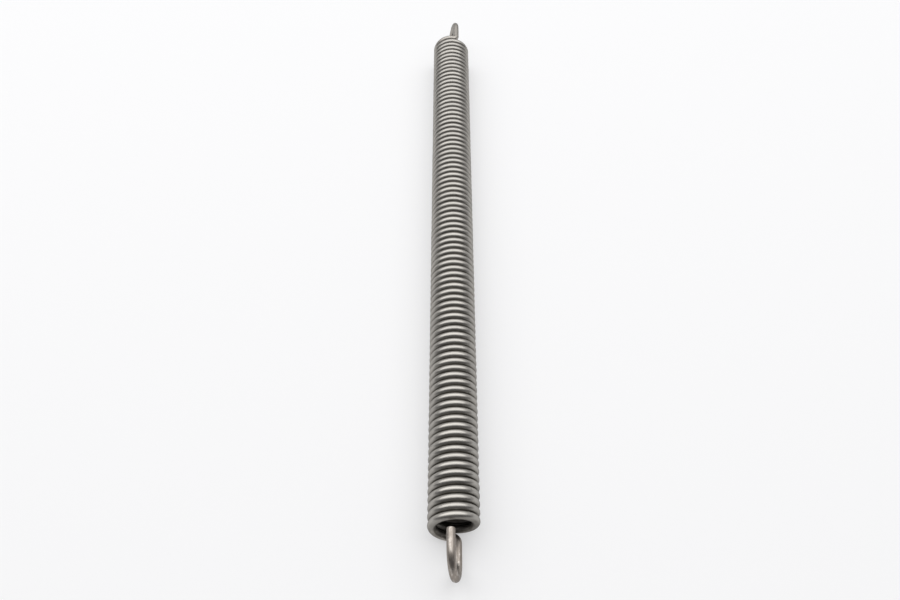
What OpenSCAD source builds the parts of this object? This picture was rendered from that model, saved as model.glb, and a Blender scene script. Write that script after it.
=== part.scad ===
// Close-wound extension spring with a full centre loop at each end, lying on its side.
// The wire is one piece. Its centreline is a chain of circular arcs and short straights,
// and each piece of the chain starts where the one before it ends, heading the same way.

/* [Wire] */

// Diameter of the spring wire, mm
wire_d = 3; // [0.5:0.1:8]

/* [Coil] */

// Outside diameter of the coil, mm
coil_od = 18.4; // [6:0.1:60]
// Number of half turns between the two loops
half_turns = 174; // [10:1:240]
// Extra part of a turn before the far loop starts, degrees
part_turn = 133; // [1:1:145]
// Clear gap between neighbouring turns, mm
turn_gap = 0.02; // [0.01:0.01:3]
// Turn of the whole spring about its own axis as it lies, degrees
lie_turn = 118; // [0:0.1:360]

/* [Loops] */

// Outside diameter of both loops, mm
loop_od = 18.4; // [6:0.1:60]
// Straight leg between the near loop's sharp bend and its round end, mm
near_leg = 7.1; // [0.5:0.1:40]
// Straight leg between the far loop's sharp bend and its round end, mm
far_leg = 7.5; // [0.5:0.1:40]
// Straight from each loop's round end back towards the coil, up to the cut end, mm
return_leg = 6.1; // [0.5:0.1:40]
// Lean of the near loop away from the coil's axis, degrees
near_lean = -1.5; // [-25:0.5:25]
// Lean of the far loop away from the coil's axis, degrees
far_lean = -9; // [-25:0.5:25]
// Centreline radius of the sharp bend, as a share of the wire diameter
bend_share = 0.75; // [0.55:0.05:2]
// Radius of the drawn-in end of the coil, as a share of the coil's own
draw_in_share = 0.75; // [0.5:0.05:1]
// How far round the coil is drawn in before the sharp bend, degrees
draw_in_angle = 30; // [5:1:34]

/* [Hidden] */

$fn = 64;

steel_colour = [0.55, 0.54, 0.52];

// Pieces of the wire are numbered in order. Each odd one is this much thinner and reaches
// this far into both its neighbours, so that no two pieces meet on a shared surface.
joint_step = 0.01;
joint_reach = 0.08;

coil_r = (coil_od - wire_d) / 2;
loop_r = (loop_od - wire_d) / 2;
bend_r = bend_share * wire_d;

// Each half turn is a flat half circle, tilted so that it climbs half a pitch.
climb_share = (wire_d + turn_gap) / (4 * coil_r);
pitch = (wire_d + turn_gap) * sqrt(1 + climb_share * climb_share);
tilt = atan2(pitch / 2, 2 * coil_r);
half_turn_r = sqrt(coil_r * coil_r + pitch * pitch / 16);

// The drawn-in arc carries on in the same tilted plane on a smaller radius.
draw_in_r = draw_in_share * half_turn_r;
shift_in = half_turn_r - draw_in_r;

// Swing of the leg round the axis, past the end of the drawn-in arc.
leg_swing = atan2(
    bend_r - shift_in * sin(draw_in_angle),
    draw_in_r + shift_in * cos(draw_in_angle)
);

coil_length = half_turns * pitch / 2;
near_reach = end_reach(0, near_leg);
far_reach = end_reach(part_turn, far_leg);
near_joint_y = -(coil_length + far_reach - near_reach) / 2;

// Distance along the axis from a half turn's end to the outside of the loop beyond it.
function end_reach(run_on, leg) =
    sin(tilt) * (
        half_turn_r * (1 - cos(run_on))
        + draw_in_r * (cos(run_on) - cos(run_on + draw_in_angle))
    )
    + bend_r * sin(bend_angle(run_on))
    + leg + loop_r + wire_d / 2;

// Angle of the sharp bend that turns the wire's heading onto the axis.
function bend_angle(run_on) = acos(sin(run_on + draw_in_angle) * sin(tilt));

// Roll about the heading that points the sharp bend along the axis.
function bend_roll(run_on) =
    atan2(cos(tilt), cos(run_on + draw_in_angle) * sin(tilt));

// The wire starts at the origin heading along +Y. Children carry on from its end.
module arc_wire(number, radius, angle) {
    odd = number % 2;
    reach_angle = atan2(joint_reach * odd, radius);
    translate([-radius, 0, 0]) {
        rotate([0, 0, -reach_angle])
            rotate_extrude(angle = angle + 2 * reach_angle)
                translate([radius, 0])
                    circle(d = wire_d - joint_step * odd);
        rotate([0, 0, angle])
            translate([radius, 0, 0])
                children();
    }
}

// The same on a straight, which carries on at its length or is cut off flat there.
module straight_wire(number, length, cut_off = false) {
    odd = number % 2;
    reach = joint_reach * odd;
    translate([0, -reach, 0])
        rotate([-90, 0, 0])
            cylinder(h = length + reach * (cut_off ? 1 : 2), d = wire_d - joint_step * odd);
    translate([0, length, 0])
        children();
}

module roll(angle) {
    rotate([0, angle, 0])
        children();
}

// Half turns of the coil, climbing along +Z from the end at z = 0.
module coil() {
    for (k = [0 : half_turns - 1])
        translate([0, 0, k * pitch / 2])
            rotate([0, 0, 180 * k])
                translate([coil_r, 0, 0])
                    roll(tilt)
                        arc_wire(k, half_turn_r, 180);
}

// From the end of a half turn: the drawn-in arc, the sharp bend and the loop.
module drawn_in_loop(number, run_on, leg, lean) {
    arc_wire(number, draw_in_r, draw_in_angle)
        roll(bend_roll(run_on))
            arc_wire(number + 1, bend_r, bend_angle(run_on))
                roll(leg_swing - 90 + lean)
                    straight_wire(number + 2, leg)
                        arc_wire(number + 3, loop_r, 180)
                            straight_wire(number + 4, return_leg, cut_off = true);
}

module near_end() {
    rotate([180, 0, 0])
        translate([coil_r, 0, 0])
            roll(tilt)
                drawn_in_loop(1, 0, near_leg, near_lean);
}

module far_end() {
    translate([0, 0, coil_length])
        rotate([0, 0, 180 * half_turns])
            translate([coil_r, 0, 0])
                roll(tilt)
                    arc_wire(half_turns, half_turn_r, part_turn)
                        drawn_in_loop(half_turns + 1, part_turn, far_leg, far_lean);
}

// Coil axis along Y, near end towards -Y, lying on z = 0.
module spring() {
    color(steel_colour)
        translate([0, near_joint_y, coil_od / 2])
            rotate([-90, 0, 0])
                rotate([0, 0, lie_turn])
                    union() {
                        coil();
                        near_end();
                        far_end();
                    }
}

spring();
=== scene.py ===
"""Close-wound extension spring with a full centre loop at each end, lying on a pale floor."""

import logging
import math
from dataclasses import dataclass, field
from enum import Enum
from typing import Any

import bpy
import numpy as np
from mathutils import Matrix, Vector

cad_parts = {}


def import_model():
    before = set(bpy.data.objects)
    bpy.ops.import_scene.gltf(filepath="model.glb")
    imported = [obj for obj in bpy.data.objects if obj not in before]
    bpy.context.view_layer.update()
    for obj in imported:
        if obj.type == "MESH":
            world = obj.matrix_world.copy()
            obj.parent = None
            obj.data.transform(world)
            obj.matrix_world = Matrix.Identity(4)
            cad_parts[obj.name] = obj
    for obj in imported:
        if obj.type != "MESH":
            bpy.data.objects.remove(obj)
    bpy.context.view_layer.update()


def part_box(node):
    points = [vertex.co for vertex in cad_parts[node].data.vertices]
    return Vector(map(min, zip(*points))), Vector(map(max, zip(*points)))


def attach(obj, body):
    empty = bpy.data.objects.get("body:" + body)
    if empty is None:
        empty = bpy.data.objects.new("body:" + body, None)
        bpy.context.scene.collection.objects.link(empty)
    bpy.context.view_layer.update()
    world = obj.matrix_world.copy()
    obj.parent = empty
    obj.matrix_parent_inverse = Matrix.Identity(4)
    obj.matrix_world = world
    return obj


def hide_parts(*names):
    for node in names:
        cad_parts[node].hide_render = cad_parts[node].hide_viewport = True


logging.basicConfig(level=logging.INFO, format="%(message)s")
log = logging.getLogger("spring")

MM = 0.001
FITTING_PASSES = 3
# The colour sockets of a Mix node come after those of its other data types.
MIX_FACTOR = 0
MIX_FIRST = 6
MIX_SECOND = 7
MIX_RESULT = 2

Colour = tuple[float, float, float]
Stops = tuple[tuple[float, float], tuple[float, float]]


class End(Enum):
    """The two ends of the coil. The value is the direction out of the coil, along Y."""

    NEAR = -1.0
    FAR = 1.0


@dataclass(frozen=True)
class Grain:
    """A noise's waves per metre along the wire and across it, and its finer layers."""

    along: float
    across: float
    detail: float = 2.0
    roughness: float = 0.5


class Signal:
    """A node's output socket that can stand in a Python expression on values."""

    def __init__(self, bench: "Bench", socket: bpy.types.NodeSocket) -> None:
        """Keep the socket and the bench that adds nodes beside it.

        Args:
            bench: The node tree's bench.
            socket: The output socket.
        """
        self.bench = bench
        self.socket = socket

    def __add__(self, other: "Signal | float") -> "Signal":
        """Return this value plus the other."""
        return self.bench.maths("ADD", self, other)

    def __radd__(self, other: float) -> "Signal":
        """Return the other value plus this one."""
        return self.bench.maths("ADD", other, self)

    def __sub__(self, other: "Signal | float") -> "Signal":
        """Return this value minus the other."""
        return self.bench.maths("SUBTRACT", self, other)

    def __rsub__(self, other: float) -> "Signal":
        """Return the other value minus this one."""
        return self.bench.maths("SUBTRACT", other, self)

    def __mul__(self, other: "Signal | float") -> "Signal":
        """Return this value times the other."""
        return self.bench.maths("MULTIPLY", self, other)

    def __rmul__(self, other: float) -> "Signal":
        """Return the other value times this one."""
        return self.bench.maths("MULTIPLY", other, self)


class Bench:
    """Adds nodes to one material's or world's node tree."""

    def __init__(self, tree: bpy.types.NodeTree) -> None:
        """Clear the tree and keep it.

        Args:
            tree: The node tree to work on.
        """
        tree.nodes.clear()
        self.tree = tree

    def node(
        self,
        kind: str,
        settings: dict[str, Any] | None = None,
        inputs: dict[str | int, Any] | None = None,
    ) -> bpy.types.Node:
        """Add one node, set it up, then fill or link its sockets.

        Args:
            kind: The node's type, such as ShaderNodeTexNoise.
            settings: Attributes set first. "stops" holds a ramp's places and greys.
            inputs: Socket name or number to a value, a Signal or an output socket.

        Returns:
            The new node.
        """
        made = self.tree.nodes.new(kind)
        for name, value in (settings or {}).items():
            if name == "stops":
                self._set_stops(made.color_ramp, value)
            else:
                setattr(made, name, value)
        for name, value in (inputs or {}).items():
            if isinstance(value, Signal):
                value = value.socket
            if isinstance(value, bpy.types.NodeSocket):
                self.tree.links.new(value, made.inputs[name])
            else:
                made.inputs[name].default_value = value
        return made

    @staticmethod
    def _set_stops(ramp: bpy.types.ColorRamp, stops: Stops) -> None:
        """Place a ramp's own two stops and make them grey.

        Args:
            ramp: The ramp.
            stops: Place and grey value of each stop, in order.
        """
        for element, (place, grey) in zip(ramp.elements, stops, strict=True):
            element.position = place
            element.color = (grey, grey, grey, 1.0)

    def maths(self, operation: str, *values: "Signal | float") -> Signal:
        """Add a Math node.

        Args:
            operation: The Math node's operation.
            *values: Its inputs, in order.

        Returns:
            The node's value.
        """
        made = self.node(
            "ShaderNodeMath", {"operation": operation}, dict(enumerate(values))
        )
        return Signal(self, made.outputs[0])

    def blend(
        self, factor: Signal | float, first: Any, second: Any
    ) -> bpy.types.NodeSocket:
        """Mix two colours.

        Args:
            factor: 0 gives the first colour, 1 the second.
            first: A colour, or a socket that carries one.
            second: A colour, or a socket that carries one.

        Returns:
            The mixed colour's socket.
        """
        made = self.node(
            "ShaderNodeMix",
            {"data_type": "RGBA", "blend_type": "MIX", "clamp_factor": True},
            {MIX_FACTOR: factor, MIX_FIRST: first, MIX_SECOND: second},
        )
        return made.outputs[MIX_RESULT]

    def noise(self, place: bpy.types.NodeSocket, grain: Grain) -> Signal:
        """Add a noise that is stretched along the wire.

        Args:
            place: The socket of the wire's own coordinates.
            grain: The noise's waves and layers.

        Returns:
            The noise, from 0 to 1 around 0.5.
        """
        stretched = self.node(
            "ShaderNodeVectorMath",
            {"operation": "MULTIPLY"},
            {0: place, 1: (grain.along, grain.across, grain.across)},
        )
        made = self.node(
            "ShaderNodeTexNoise",
            {"noise_dimensions": "3D"},
            {
                "Vector": stretched.outputs[0],
                "Scale": 1.0,
                "Detail": grain.detail,
                "Roughness": grain.roughness,
            },
        )
        return Signal(self, made.outputs[0])

    def ramp(self, value: Signal, stops: Stops) -> Signal:
        """Pass a value through a grey ramp.

        Args:
            value: The value to look up.
            stops: Place and grey value of each stop.

        Returns:
            The grey value.
        """
        made = self.node("ShaderNodeValToRGB", {"stops": stops}, {0: value})
        return Signal(self, made.outputs[0])

    def attribute(self, name: str, output: str) -> bpy.types.NodeSocket:
        """Return an output socket of a mesh attribute."""
        made = self.node("ShaderNodeAttribute", {"attribute_name": name})
        return made.outputs[output]


@dataclass(frozen=True)
class SteelMasks:
    """The textures and masks that the steel's colour, gloss and relief share."""

    loop: Signal
    oil_and_shade: Signal
    cloud: Signal
    streak: Signal
    scratch: Signal
    grit: Signal
    patch: Signal
    rub: Signal
    stains: Signal


@dataclass(frozen=True)
class DrawnSteel:
    """Bare drawn spring wire: satin grey, darkened between and inside the turns by oil and
    painted shade, rubbed at the loops.

    Streaks and clouds are a second texture's share in a mask, and stops are the places and
    greys of its ramp. A dulling is added to the roughness, and a height to the relief.
    """

    grey: Colour = (0.375, 0.36, 0.335)
    pale: Colour = (0.46, 0.44, 0.405)
    # Painted shade: this dark colour stands for oil and for the shade in the grooves and
    # inside the coil.
    oil_and_shade_colour: Colour = (0.08, 0.072, 0.06)
    browned: Colour = (0.30, 0.262, 0.23)
    edge: Colour = (0.55, 0.55, 0.55)
    rubbed: Colour = (0.66, 0.62, 0.57)
    stain: Colour = (0.10, 0.085, 0.075)
    metal: float = 0.94

    cloud: Grain = Grain(along=90.0, across=160.0, detail=3.0)
    streak: Grain = Grain(along=35.0, across=3400.0, detail=3.0, roughness=0.6)
    scratch: Grain = Grain(along=160.0, across=9000.0)
    grit: Grain = Grain(along=5200.0, across=5200.0)
    patch: Grain = Grain(along=420.0, across=700.0, detail=4.0, roughness=0.62)

    pale_streaks: float = 0.5
    pale_stops: Stops = ((0.36, 0.0), (0.64, 1.0))
    brown_streaks: float = 0.3
    brown_stops: Stops = ((0.35, 0.55), (0.8, 1.0))
    oil_and_shade_clouds: float = 0.25
    oil_and_shade_stops: Stops = ((0.3, 1.0), (0.85, 0.45))
    rub_streaks: float = 0.4
    rub_stops: Stops = ((0.53, 0.0), (0.62, 1.0))
    rub_cover: float = 0.75
    stain_stops: Stops = ((0.29, 1.0), (0.35, 0.0))
    coil_stains: float = 0.25
    loop_stains: float = 0.6

    satin: float = 0.31
    dull_stops: Stops = ((0.3, 0.0), (0.7, 1.0))
    streak_dulling: float = 0.12
    oil_dulling: float = 0.16
    loop_dulling: float = 0.06
    stain_dulling: float = 0.25
    rub_dulling: float = -0.06

    relief_strength: float = 0.35
    relief_depth: float = 0.05 * MM
    streak_height: float = 0.55
    scratch_height: float = 0.25
    grit_height: float = 0.12
    rub_height: float = 0.3

    def material(self) -> bpy.types.Material:
        """Build the wire's material.

        Returns:
            The material.
        """
        made = bpy.data.materials.new("drawn_steel")
        made.use_nodes = True
        bench = Bench(made.node_tree)
        masks = self._masks(bench)
        shader = bench.node(
            "ShaderNodeBsdfPrincipled",
            {},
            {
                "Base Color": self._colour(bench, masks),
                "Metallic": self.metal,
                "Specular Tint": (*self.edge, 1),
                "Roughness": self._roughness(bench, masks),
                "Normal": self._relief(bench, masks),
            },
        )
        bench.node("ShaderNodeOutputMaterial", {}, {"Surface": shader.outputs[0]})
        return made

    def _masks(self, bench: Bench) -> SteelMasks:
        """Read the mesh's own values and make the textures.

        Args:
            bench: The material's bench.

        Returns:
            The textures and masks.
        """
        place = bench.attribute("wire_place", "Vector")
        loop = Signal(bench, bench.attribute("loop_share", "Fac"))
        # The mask of oil and painted shade in the grooves and inside the coil.
        oil_and_shade = Signal(bench, bench.attribute("groove_oil_and_shade", "Fac"))
        cloud = bench.noise(place, self.cloud)
        streak = bench.noise(place, self.streak)
        scratch = bench.noise(place, self.scratch)
        grit = bench.noise(place, self.grit)
        patch = bench.noise(place, self.patch)
        worn = patch * (1 - self.rub_streaks) + streak * self.rub_streaks
        rub = loop * bench.ramp(worn, self.rub_stops)
        spots = bench.ramp(patch, self.stain_stops)
        stains = spots * (self.coil_stains + loop * self.loop_stains)
        return SteelMasks(loop, oil_and_shade, cloud, streak, scratch, grit, patch, rub, stains)

    def _colour(self, bench: Bench, masks: SteelMasks) -> bpy.types.NodeSocket:
        """Lay the wire's colours over each other: steel, brown, oil with painted shade,
        rubbed spots, stains.

        Args:
            bench: The material's bench.
            masks: The textures and masks.

        Returns:
            The colour's socket.
        """
        tone = masks.cloud * (1 - self.pale_streaks) + masks.streak * self.pale_streaks
        steel = bench.ramp(tone, self.pale_stops)
        colour = bench.blend(steel, (*self.grey, 1), (*self.pale, 1))
        tint = masks.cloud + masks.streak * self.brown_streaks
        brown = masks.loop * bench.ramp(tint, self.brown_stops)
        colour = bench.blend(brown, colour, (*self.browned, 1))
        oil_and_shade_texture = masks.patch + masks.cloud * self.oil_and_shade_clouds
        # Painted shade: the grooves between turns and the coil's inside are darkened in the
        # colour, partly as oil, partly as shade.
        oil = masks.oil_and_shade * bench.ramp(oil_and_shade_texture, self.oil_and_shade_stops)
        colour = bench.blend(oil, colour, (*self.oil_and_shade_colour, 1))
        colour = bench.blend(masks.rub * self.rub_cover, colour, (*self.rubbed, 1))
        return bench.blend(masks.stains, colour, (*self.stain, 1))

    def _roughness(self, bench: Bench, masks: SteelMasks) -> Signal:
        """Make the gloss vary with the streaks, the oil, the rubbing and the stains.

        Args:
            bench: The material's bench.
            masks: The textures and masks.

        Returns:
            The roughness.
        """
        dull = bench.ramp(masks.streak, self.dull_stops)
        steel = self.satin + (dull - 0.5) * self.streak_dulling
        used = steel + masks.oil_and_shade * self.oil_dulling + masks.loop * self.loop_dulling
        return used + masks.stains * self.stain_dulling + masks.rub * self.rub_dulling

    def _relief(self, bench: Bench, masks: SteelMasks) -> bpy.types.NodeSocket:
        """Raise the drawing marks and the rubbed spots.

        Args:
            bench: The material's bench.
            masks: The textures and masks.

        Returns:
            The normal's socket.
        """
        marks = masks.streak * self.streak_height + masks.scratch * self.scratch_height
        height = marks + masks.grit * self.grit_height + masks.rub * self.rub_height
        bump = bench.node(
            "ShaderNodeBump",
            {},
            {
                "Strength": self.relief_strength,
                "Distance": self.relief_depth,
                "Height": height,
            },
        )
        return bump.outputs[0]


@dataclass(frozen=True)
class PaleFloor:
    """A matt white worktop that glows a little, which keeps the shadows weak."""

    colour: Colour = (0.48, 0.48, 0.482)
    glow: Colour = (0.425, 0.425, 0.428)
    glow_strength: float = 1.0
    roughness: float = 0.75
    shine: float = 0.2

    def material(self) -> bpy.types.Material:
        """Build the floor's material.

        Returns:
            The material.
        """
        made = bpy.data.materials.new("pale_floor")
        made.use_nodes = True
        bench = Bench(made.node_tree)
        shader = bench.node(
            "ShaderNodeBsdfPrincipled",
            {},
            {
                "Base Color": (*self.colour, 1),
                "Roughness": self.roughness,
                "Specular IOR Level": self.shine,
                "Emission Color": (*self.glow, 1),
                "Emission Strength": self.glow_strength,
            },
        )
        bench.node("ShaderNodeOutputMaterial", {}, {"Surface": shader.outputs[0]})
        return made


class Pen:
    """Draws a wire's centreline: a point, a heading and the side that it bends towards."""

    def __init__(
        self, place: np.ndarray, heading: np.ndarray, side: np.ndarray
    ) -> None:
        """Put the pen down.

        Args:
            place: Where it starts.
            heading: The direction it moves in, of length 1.
            side: The direction it bends towards, squared to the heading here.
        """
        self.place = place
        self.heading = heading
        self.points: list[np.ndarray] = []
        self.roll_to(side)

    def roll_to(self, side: np.ndarray) -> None:
        """Bend towards a new side from here, squared to the heading."""
        across = side - (side @ self.heading) * self.heading
        self.side = across / np.linalg.norm(across)

    def arc(self, radius: float, angle: float, steps: int) -> None:
        """Draw a circular arc.

        Args:
            radius: Its radius.
            angle: How far it turns, in radians.
            steps: How many points it adds.
        """
        start, ahead, side = self.place, self.heading, self.side
        for k in range(1, steps + 1):
            turned = angle * k / steps
            run = radius * math.sin(turned) * ahead
            self.points.append(start + run + radius * (1 - math.cos(turned)) * side)
        self.place = self.points[-1]
        self.heading = math.cos(angle) * ahead + math.sin(angle) * side
        self.side = math.cos(angle) * side - math.sin(angle) * ahead

    def straight(self, length: float, steps: int) -> None:
        """Draw a straight.

        Args:
            length: Its length.
            steps: How many points it adds.
        """
        for k in range(1, steps + 1):
            self.points.append(self.place + self.heading * (length * k / steps))
        self.place = self.points[-1]


@dataclass
class Loop:
    """One end of the wire: the coil draws in, bends sharply outwards and makes a loop.

    The draw-in turns by draw_in_angle on draw_in_share of the coil's radius. The lean is
    how far the loop is turned about the coil's axis, and the steps are points added.
    """

    end: End
    leg: float
    lean: float
    outside: float = 18.4 * MM
    return_leg: float = 6.1 * MM
    bend_radius: float = 2.25 * MM
    draw_in_share: float = 0.75
    draw_in_angle: float = math.radians(30)
    draw_in_steps: int = 9
    bend_steps: int = 16
    leg_steps: int = 8
    loop_steps: int = 44

    def centreline(
        self, start: np.ndarray, heading: np.ndarray, axis_point: np.ndarray, wire: float
    ) -> np.ndarray:
        """Draw the loop from the end of the coil.

        Args:
            start: The coil's last point.
            heading: The wire's heading there, out of the coil.
            axis_point: The point of the coil's axis beside it.
            wire: The wire's diameter.

        Returns:
            The points after the start, to the cut end.
        """
        out = np.array([0.0, self.end.value, 0.0])
        inward = axis_point - start
        coil_radius = float(np.linalg.norm(inward))
        pen = Pen(start, heading, inward)
        pen.arc(coil_radius * self.draw_in_share, self.draw_in_angle, self.draw_in_steps)
        pen.roll_to(out)
        to_straight_out = math.acos(float(pen.heading @ out))
        pen.arc(self.bend_radius, to_straight_out, self.bend_steps)
        pen.roll_to(self._leaned(axis_point - pen.place))
        pen.straight(self.leg, self.leg_steps)
        pen.arc((self.outside - wire) / 2, math.pi, self.loop_steps)
        pen.straight(self.return_leg, self.leg_steps)
        return np.array(pen.points)

    def _leaned(self, across: np.ndarray) -> np.ndarray:
        """Turn a direction across the coil by the loop's lean, and level its Y part.

        Args:
            across: The direction from the leg to the coil's axis.

        Returns:
            The direction that the loop opens towards.
        """
        turn = self.lean * self.end.value
        x, _, z = across
        return np.array(
            [
                x * math.cos(turn) - z * math.sin(turn),
                0.0,
                x * math.sin(turn) + z * math.cos(turn),
            ]
        )


@dataclass(frozen=True)
class Centreline:
    """The wire's middle line, and the numbers of the coil's first and last point."""

    points: np.ndarray
    first: int
    last: int

    def past_joint(self, at: np.ndarray) -> np.ndarray:
        """Return how many points each one is past the coil's nearer end, inside below 0."""
        return np.maximum(self.first - at, at - self.last)


@dataclass(frozen=True)
class Sweep:
    """The rings of the swept wire, from the near cut end to the far one.

    Each ring has a centre, a radius and the number of the centreline point behind it. The
    angles go round the wire, and a spoke points out to each point of each ring.
    """

    centres: np.ndarray
    radii: np.ndarray
    behind: np.ndarray
    angles: np.ndarray
    spokes: np.ndarray

    def mesh(self, name: str) -> bpy.types.Mesh:
        """Skin the rings, and close both cut ends with a flat fan round a hub point.

        Args:
            name: The mesh's name.

        Returns:
            The closed mesh. Its points are the rings' points, then the two hubs.
        """
        rings, sides = len(self.centres), len(self.angles)
        skin = self.centres[:, None, :] + self.spokes * self.radii[:, None, None]
        vertices = np.concatenate([skin.reshape(-1, 3), self.centres[[0, -1]]])
        ring = np.arange(rings - 1)[:, None] * sides
        here = np.arange(sides)
        after = (here + 1) % sides
        quads = np.stack(
            [ring + here, ring + after, ring + after + sides, ring + here + sides], -1
        ).reshape(-1, 4)
        near_hub = rings * sides
        far_hub = near_hub + 1
        last_ring = near_hub - sides
        spans = list(zip(here.tolist(), after.tolist(), strict=True))
        near_cap = [(near_hub, b, a) for a, b in spans]
        far_cap = [(far_hub, last_ring + a, last_ring + b) for a, b in spans]
        made = bpy.data.meshes.new(name)
        made.from_pydata(vertices.tolist(), [], quads.tolist() + near_cap + far_cap)
        smooth = np.ones(len(made.polygons), dtype=bool)
        smooth[len(quads) :] = False
        made.polygons.foreach_set("use_smooth", smooth)
        return made

    def places(self) -> np.ndarray:
        """Unroll the wire into its own coordinates, along it and across it.

        Returns:
            The coordinates of each point of the mesh.
        """
        steps = np.linalg.norm(np.diff(self.centres, axis=0), axis=1)
        along = np.concatenate([[0.0], np.cumsum(steps)])
        place = np.zeros(self.spokes.shape)
        place[..., 0] = along[:, None]
        place[..., 1] = self.radii[:, None] * np.cos(self.angles)[None, :]
        place[..., 2] = self.radii[:, None] * np.sin(self.angles)[None, :]
        hubs = np.array([[along[0], 0, 0], [along[-1], 0, 0]])
        return np.concatenate([place.reshape(-1, 3), hubs])


@dataclass(frozen=True)
class WearAndPaintedShade:
    """Where the wire looks like a loop's worn wire, and where oil and painted shade darken
    it.

    The loops' look fades in over joint_rings, half of them on each side of the joint, up
    to far_loop at the far one. Oil and painted shade lie in the grooves, where the surface
    faces the next turn, and inside the coil, where it faces the axis. They start where the
    surface faces that way by a share of from, and are full at from plus reach. A groove at
    the coil's very end holds end_groove of them. The darkening inside ends inside_rings
    past the joint.
    """

    joint_rings: float = 24.0
    far_loop: float = 0.3
    groove_from: float = 0.46
    groove_reach: float = 0.42
    groove_curve: float = 1.3
    end_groove: float = 0.35
    inside_from: float = 0.05
    inside_reach: float = 0.45
    inside_rings: float = 16.0
    cut_ends: float = 1.0

    def loop_share(self, sweep: Sweep, line: Centreline) -> np.ndarray:
        """Say how much each point belongs to a loop.

        Args:
            sweep: The wire's rings.
            line: The wire's centreline.

        Returns:
            The share of each point of the mesh, from 0 in the coil to 1.
        """
        past = line.past_joint(sweep.behind)
        share = np.clip((past + self.joint_rings / 2) / self.joint_rings, 0, 1)
        share *= np.where(sweep.behind > line.last, self.far_loop, 1.0)
        hubs = [self.cut_ends, self.cut_ends]
        return np.concatenate([np.repeat(share, len(sweep.angles)), hubs])

    def groove_oil_and_shade(
        self, sweep: Sweep, line: Centreline, rings_per_turn: int, axis_z: float
    ) -> np.ndarray:
        """Say how dark each point is made by oil and painted shade.

        Args:
            sweep: The wire's rings.
            line: The wire's centreline.
            rings_per_turn: How many rings a turn of the coil has.
            axis_z: Height of the coil's axis.

        Returns:
            The oil and painted shade at each point of the mesh, from 0 to 1.
        """
        past = line.past_joint(sweep.behind)
        between_turns = np.clip((sweep.behind - line.first) / rings_per_turn, 0, 1)
        between_turns *= np.clip((line.last - sweep.behind) / rings_per_turn, 0, 1)
        held = self.end_groove + (1 - self.end_groove) * between_turns
        # Painted shade: the grooves between turns and the coil's inside are marked dark,
        # partly oil, partly the shade that falls there.
        facing = np.abs(sweep.spokes[..., 1])
        groove = np.clip((facing - self.groove_from) / self.groove_reach, 0, 1)
        groove = groove**self.groove_curve * np.where(past <= 0, held, 0)[:, None]
        outward = sweep.centres[:, ::2] - np.array([0.0, axis_z])
        outward /= np.linalg.norm(outward, axis=1)[:, None]
        inward = -np.einsum("rsk,rk->rs", sweep.spokes[..., ::2], outward)
        inside = np.clip((inward - self.inside_from) / self.inside_reach, 0, 1)
        inside *= np.clip(1 - past / self.inside_rings, 0, 1)[:, None]
        return np.concatenate([np.maximum(groove, inside).ravel(), [0, 0]])


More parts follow.
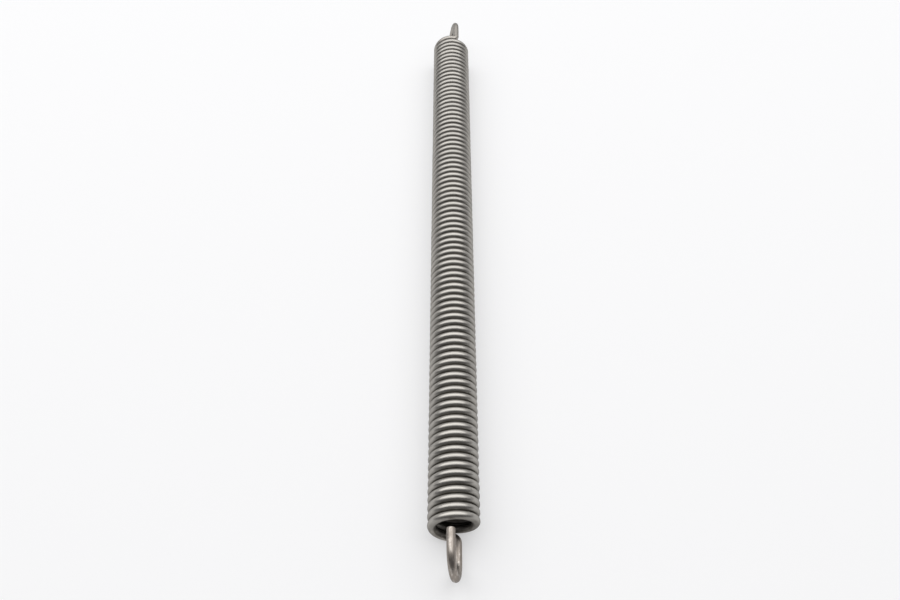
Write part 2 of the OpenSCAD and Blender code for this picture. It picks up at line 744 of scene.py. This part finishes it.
@dataclass
class SpringWire:
    """The whole spring: one length of wire, wound into a coil that touches z = 0.

    Each end is bent into a loop. The box is the frame's own box of the spring. The near
    end's first turns stand a little apart underneath, by spread at most. The coil's radius
    wanders by about unevenness, in waves whose sum is scaled by wave_share, and by less
    over the fade_turns at each end. A cut end's rounded edge is cut_edge wide, and
    cut_edge_middle puts its middle ring, back and in, as shares of that. side_start is
    any direction that isn't along the wire.
    """

    box_low: Vector
    box_high: Vector
    wire: float = 3.0 * MM
    coil_outside: float = 18.4 * MM
    turns: float = 87.0 + 133.0 / 360.0
    start_angle: float = math.radians(-118.0)
    near: Loop = field(
        default_factory=lambda: Loop(End.NEAR, leg=6.35 * MM, lean=math.radians(1.5))
    )
    far: Loop = field(
        default_factory=lambda: Loop(End.FAR, leg=7.5 * MM, lean=math.radians(9.0))
    )
    wear_and_shade: WearAndPaintedShade = WearAndPaintedShade()
    rings_per_turn: int = 46
    sides: int = 20
    spread: float = 0.5 * MM
    spread_turns: float = 8.0
    unevenness: float = 0.035 * MM
    waves_per_turn: tuple[float, ...] = (0.13, 0.31, 0.57, 0.83, 1.9)
    wave_share: float = 0.45
    fade_turns: float = 2.0
    seed: int = 7
    cut_edge: float = 0.18 * MM
    cut_edge_middle: tuple[float, float] = (0.3, 0.35)
    side_start: tuple[float, float, float] = (0.3, 0.2, 0.9)

    @property
    def coil_radius(self) -> float:
        """Radius of the wire's centreline in the coil."""
        return (self.coil_outside - self.wire) / 2

    @property
    def axis_z(self) -> float:
        """Height of the coil's axis."""
        return self.coil_outside / 2

    def _wander(self, turned: np.ndarray) -> np.ndarray:
        """Make the coil's small unevenness, which fades out towards both ends.

        Args:
            turned: How far along the coil each point is, in turns.

        Returns:
            A smooth offset for each point, about the size of unevenness.
        """
        dice = np.random.default_rng(self.seed)
        total = np.zeros_like(turned)
        for waves in self.waves_per_turn:
            phase = dice.uniform(0, 2 * math.pi)
            total += np.sin(2 * math.pi * waves * turned + phase) / (1 + waves)
        to_end = np.minimum(turned, self.turns - turned)
        fade = np.clip(to_end / self.fade_turns, 0, 1)
        return total * self.unevenness * self.wave_share * fade

    def centreline(self) -> Centreline:
        """Draw the wire from the near cut end to the far one, as long as the frame's box.

        Returns:
            The centreline.
        """
        length = self.box_high.y - self.box_low.y
        rise = length - self.near.outside - self.far.outside
        for _ in range(FITTING_PASSES):
            over = np.ptp(self._chain(rise).points[:, 1]) + self.wire - length
            rise -= over
        line = self._chain(rise)
        line.points[:, 1] += self.box_low.y + self.wire / 2 - line.points[:, 1].min()
        return line

    def _chain(self, rise: float) -> Centreline:
        """Draw the coil with a given rise, and both loops.

        Args:
            rise: How far the coil's centreline goes along Y.

        Returns:
            The centreline.
        """
        count = int(self.turns * self.rings_per_turn) + 1
        turned = np.linspace(0.0, self.turns, count)
        angle = self.start_angle - 2 * math.pi * turned
        radius = self.coil_radius + self._wander(turned)
        underneath = (1 - np.sin(angle)) / 2
        spread = self.spread * np.clip(1 - turned / self.spread_turns, 0, 1)
        along = rise * turned / self.turns - spread * underneath**2
        coil = np.stack(
            [radius * np.cos(angle), along, self.axis_z + radius * np.sin(angle)], axis=-1
        )
        slopes = np.gradient(coil, axis=0, edge_order=2)
        tails = []
        for loop, at in ((self.near, 0), (self.far, -1)):
            ahead = slopes[at] * (loop.end.value / np.linalg.norm(slopes[at]))
            axis_point = np.array([0.0, coil[at][1], self.axis_z])
            tails.append(loop.centreline(coil[at], ahead, axis_point, self.wire))
        near_tail, far_tail = tails
        first = len(near_tail)
        points = np.concatenate([near_tail[::-1], coil, far_tail])
        return Centreline(points, first, first + count - 1)

    def _carried_frames(
        self, points: np.ndarray
    ) -> tuple[np.ndarray, np.ndarray, np.ndarray]:
        """Carry a pair of cross directions along the wire without twisting them.

        Args:
            points: The centreline.

        Returns:
            The heading and the two cross directions at each point.
        """
        heading = np.gradient(points, axis=0)
        heading /= np.linalg.norm(heading, axis=1)[:, None]
        across = np.empty_like(points)
        side = np.cross(heading[0], self.side_start)
        for k, ahead in enumerate(heading):
            side = side - (side @ ahead) * ahead
            side /= np.linalg.norm(side)
            across[k] = side
        return heading, across, np.cross(heading, across)

    def _cut_ends(
        self, points: np.ndarray, heading: np.ndarray
    ) -> tuple[np.ndarray, np.ndarray, np.ndarray]:
        """Round the edge of each cut end with two added rings.

        Args:
            points: The centreline.
            heading: The heading at each point.

        Returns:
            The centres and radii of all rings, and the number of the centreline point
            behind each.
        """
        back, drop = self.cut_edge_middle
        wide = self.wire / 2
        start, finish = points[:1], points[-1:]
        into_start = heading[:1] * self.cut_edge
        into_finish = heading[-1:] * self.cut_edge
        centres = np.concatenate(
            [start, start + into_start * back, start + into_start, points[1:-1]]
            + [finish - into_finish, finish - into_finish * back, finish]
        )
        rounded = [wide - self.cut_edge, wide - self.cut_edge * drop, wide]
        inner = np.full(len(points) - 2, wide)
        radii = np.concatenate([rounded, inner, rounded[::-1]])
        last = len(points) - 1
        behind = np.concatenate([[0, 0, 0], np.arange(1, last), [last, last, last]])
        return centres, radii, behind

    def _sweep(self, points: np.ndarray) -> Sweep:
        """Set a ring of spokes on the centreline at each of its points.

        Args:
            points: The centreline.

        Returns:
            The wire's rings.
        """
        heading, across, up = self._carried_frames(points)
        centres, radii, behind = self._cut_ends(points, heading)
        angles = np.linspace(0, 2 * math.pi, self.sides, endpoint=False)
        spokes = (
            across[behind][:, None, :] * np.cos(angles)[None, :, None]
            + up[behind][:, None, :] * np.sin(angles)[None, :, None]
        )
        return Sweep(centres, radii, behind, angles, spokes)

    def _mesh(self) -> bpy.types.Mesh:
        """Sweep the wire and store what its finish reads.

        Returns:
            The closed mesh.
        """
        line = self.centreline()
        sweep = self._sweep(line.points)
        mesh = sweep.mesh("spring_wire")
        target = mesh.attributes.new("wire_place", "FLOAT_VECTOR", "POINT")
        target.data.foreach_set("vector", sweep.places().astype(np.float32).ravel())
        # The painted shade in the grooves and inside the coil, with its oil.
        oil_and_shade = self.wear_and_shade.groove_oil_and_shade(sweep, line, self.rings_per_turn, self.axis_z)
        shares = {"loop_share": self.wear_and_shade.loop_share(sweep, line), "groove_oil_and_shade": oil_and_shade}
        for name, values in shares.items():
            target = mesh.attributes.new(name, "FLOAT", "POINT")
            target.data.foreach_set("value", values.astype(np.float32))
        mesh.validate()
        return mesh

    def build(self, finish: DrawnSteel) -> bpy.types.Object:
        """Make the wire, dress it and let it stand for the frame's spring.

        Args:
            finish: The wire's finish.

        Returns:
            The wire's object.
        """
        piece = bpy.data.objects.new("spring_wire", self._mesh())
        bpy.context.scene.collection.objects.link(piece)
        piece.data.materials.append(finish.material())
        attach(piece, "root")
        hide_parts("spring")
        log.info("%s: %d faces", piece.name, len(piece.data.polygons))
        return piece


@dataclass
class Studio:
    """The pale floor, the soft overhead light and the camera.

    The room is pale above and towards +Y. The stops say where it turns pale: on the share
    of the way from -Y to +Y, and on the height of a direction of length 1.
    """

    floor_z: float
    floor_half: float = 3.0
    shade: Colour = (0.12, 0.12, 0.124)
    sky: Colour = (0.85, 0.85, 0.858)
    ahead_stops: Stops = ((0.42, 0.0), (0.62, 1.0))
    above_stops: Stops = ((0.0, 0.0), (0.3, 1.0))
    canopy_size: tuple[float, float] = (3.0, 1.5)
    canopy_place: tuple[float, float, float] = (-0.22, 0.36, 1.0)
    canopy_power: float = 18.0
    camera_back: float = 0.2369
    camera_height: float = 0.2761
    camera_side: float = -0.00161
    camera_pitch: float = math.radians(53.01)
    camera_yaw: float = math.radians(0.16)
    lens: float = 32.30
    sensor_width: float = 36.0
    nearest_seen: float = 0.01

    def build(self) -> None:
        """Set up the floor, the light and the camera."""
        self._floor()
        self._light()
        self._camera()
        view = bpy.context.scene.view_settings
        view.view_transform = "Standard"
        view.look = "None"

    def _floor(self) -> None:
        """Lay the floor under the spring."""
        half, z = self.floor_half, self.floor_z
        corners = [(-half, -half, z), (half, -half, z), (half, half, z), (-half, half, z)]
        mesh = bpy.data.meshes.new("floor")
        mesh.from_pydata(corners, [], [(0, 1, 2, 3)])
        floor = bpy.data.objects.new("floor", mesh)
        bpy.context.scene.collection.objects.link(floor)
        floor.data.materials.append(PaleFloor().material())
        log.info("floor laid")

    def _light(self) -> None:
        """Paint the room that surrounds the spring and hang one soft light overhead."""
        world = bpy.data.worlds.new("room")
        world.use_nodes = True
        bench = Bench(world.node_tree)
        heading = bench.node("ShaderNodeTexCoord").outputs["Generated"]
        split = bench.node("ShaderNodeSeparateXYZ", {}, {"Vector": heading})
        ahead = Signal(bench, split.outputs["Y"]) * 0.5 + 0.5
        above = Signal(bench, split.outputs["Z"])
        pale = bench.ramp(ahead, self.ahead_stops)
        pale = pale * bench.ramp(above, self.above_stops)
        walls = bench.blend(pale, (*self.shade, 1), (*self.sky, 1))
        room = bench.node("ShaderNodeBackground", {}, {"Color": walls})
        bench.node("ShaderNodeOutputWorld", {}, {"Surface": room.outputs[0]})
        bpy.context.scene.world = world
        lamp = bpy.data.lights.new("canopy", "AREA")
        lamp.shape = "RECTANGLE"
        lamp.size, lamp.size_y = self.canopy_size
        lamp.energy = self.canopy_power
        canopy = bpy.data.objects.new("canopy", lamp)
        canopy.location = self.canopy_place
        bpy.context.scene.collection.objects.link(canopy)
        log.info("canopy light hung")

    def _camera(self) -> None:
        """Look down along the spring from beyond its near end."""
        camera = bpy.data.objects.new("camera", bpy.data.cameras.new("camera"))
        camera.data.lens = self.lens
        camera.data.sensor_width = self.sensor_width
        camera.data.clip_start = self.nearest_seen
        camera.location = (self.camera_side, -self.camera_back, self.camera_height)
        tilt = math.pi / 2 - self.camera_pitch
        camera.rotation_euler = (tilt, 0.0, -self.camera_yaw)
        bpy.context.scene.collection.objects.link(camera)
        bpy.context.scene.camera = camera
        log.info("camera set")


def main() -> None:
    """Build the spring and its studio."""
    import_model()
    low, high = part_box("spring")
    SpringWire(Vector(low), Vector(high)).build(DrawnSteel())
    Studio(floor_z=Vector(low).z).build()


if __name__ == "__main__":
    main()
